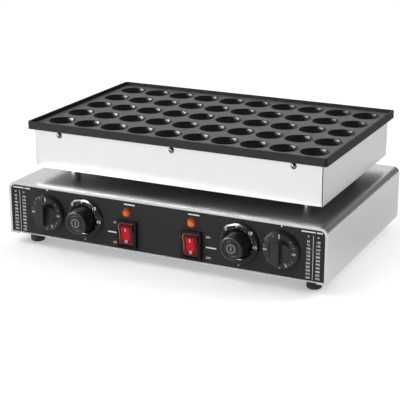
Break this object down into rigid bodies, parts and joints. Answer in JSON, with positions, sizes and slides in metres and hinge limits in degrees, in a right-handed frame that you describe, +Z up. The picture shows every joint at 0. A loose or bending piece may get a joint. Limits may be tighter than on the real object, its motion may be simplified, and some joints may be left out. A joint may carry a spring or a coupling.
{
  "type": "poffertjes maker",
  "caption": "Countertop baking plate with small round pits in rows, over a steel heater box on posts above a control base with dials, timers and rocker switches.",
  "frame": {"origin": "on the floor, at the centre of the footprint", "axes": "+Z up, +X to the right along the control panel, +Y from the control panel to the back"},
  "size_m": [0.505, 0.3692, 0.1845],
  "materials": {
    "coating": "dark non-stick coating on cast aluminium, satin deck and glossy pits",
    "satin_steel": "bright fine-brushed stainless sheet",
    "brushed_steel": "brushed stainless sheet",
    "polished_steel": "polished steel",
    "zinc_plated": "zinc-plated steel",
    "element_sheath": "dull steel sheath",
    "black_panel": "black satin paint",
    "printed_panel": "black printed film with white markings",
    "knob_plastic": "black satin plastic with fine grain",
    "gloss_black": "glossy black plastic",
    "black_plastic": "black moulded plastic",
    "red_rocker": "translucent red plastic",
    "amber_lens": "translucent amber plastic",
    "rubber": "black rubber",
    "mineral_wool": "pressed mineral wool",
    "ceramic": "unglazed ceramic"
  },
  "bodies": {
    "body": {"baking_plate": "coating", "heating_element_left": "element_sheath", "heating_element_right": "element_sheath", "element_clamps": "zinc_plated", "clamp_screws": "zinc_plated", "insulation_pad": "mineral_wool", "upper_box": "satin_steel", "rim_screws": "polished_steel", "support_posts": "polished_steel", "post_bolts": "zinc_plated", "post_nuts": "zinc_plated", "cable_tube": "black_plastic", "cable_tube_nuts": "zinc_plated", "base_shell": "brushed_steel", "front_panel": "black_panel", "panel_overlay": "printed_panel", "panel_screws": "zinc_plated", "rear_panel": "brushed_steel", "rear_screws": "zinc_plated", "bottom_plate": "zinc_plated", "bottom_screws": "zinc_plated", "feet": "rubber", "foot_screws": "zinc_plated", "foot_nuts": "zinc_plated", "cable_gland": "black_plastic", "gland_nut": "black_plastic", "terminal_block": "ceramic", "thermostat_left": "zinc_plated", "thermostat_right": "zinc_plated", "timer_left": "zinc_plated", "timer_right": "zinc_plated", "timer_bezel_left": "gloss_black", "timer_bezel_right": "gloss_black", "lamp_body_left": "black_plastic", "lamp_body_right": "black_plastic", "lamp_lens_left": "amber_lens", "lamp_lens_right": "amber_lens", "switch_left": "black_plastic", "switch_right": "black_plastic"},
    "thermostat_knob_left": {"thermostat_dial_left": "knob_plastic", "thermostat_shaft_left": "polished_steel"},
    "timer_control_left": {"timer_knob_left": "knob_plastic", "timer_shaft_left": "polished_steel"},
    "switch_rocker_left": {"rocker_left": "red_rocker"},
    "thermostat_knob_right": {"thermostat_dial_right": "knob_plastic", "thermostat_shaft_right": "polished_steel"},
    "timer_control_right": {"timer_knob_right": "knob_plastic", "timer_shaft_right": "polished_steel"},
    "switch_rocker_right": {"rocker_right": "red_rocker"}
  },
  "joints": [
    {"name": "thermostat_turn_left", "type": "hinge", "parent": "body", "child": "thermostat_knob_left", "pos_m": [-0.1855, -0.16255, 0.0585], "axis": [0, 1, 0], "range_deg": [0, 270]},
    {"name": "timer_turn_left", "type": "hinge", "parent": "body", "child": "timer_control_left", "pos_m": [-0.123, -0.16255, 0.0585], "axis": [0, 1, 0], "range_deg": [0, 300]},
    {"name": "rocker_tilt_left", "type": "hinge", "parent": "body", "child": "switch_rocker_left", "pos_m": [-0.0515, -0.15545, 0.045], "axis": [-1, 0, 0], "range_deg": [0, 16]},
    {"name": "thermostat_turn_right", "type": "hinge", "parent": "body", "child": "thermostat_knob_right", "pos_m": [0.1855, -0.16255, 0.0585], "axis": [0, 1, 0], "range_deg": [0, 270]},
    {"name": "timer_turn_right", "type": "hinge", "parent": "body", "child": "timer_control_right", "pos_m": [0.123, -0.16255, 0.0585], "axis": [0, 1, 0], "range_deg": [0, 300]},
    {"name": "rocker_tilt_right", "type": "hinge", "parent": "body", "child": "switch_rocker_right", "pos_m": [0.0515, -0.15545, 0.045], "axis": [-1, 0, 0], "range_deg": [0, 16]}
  ]
}
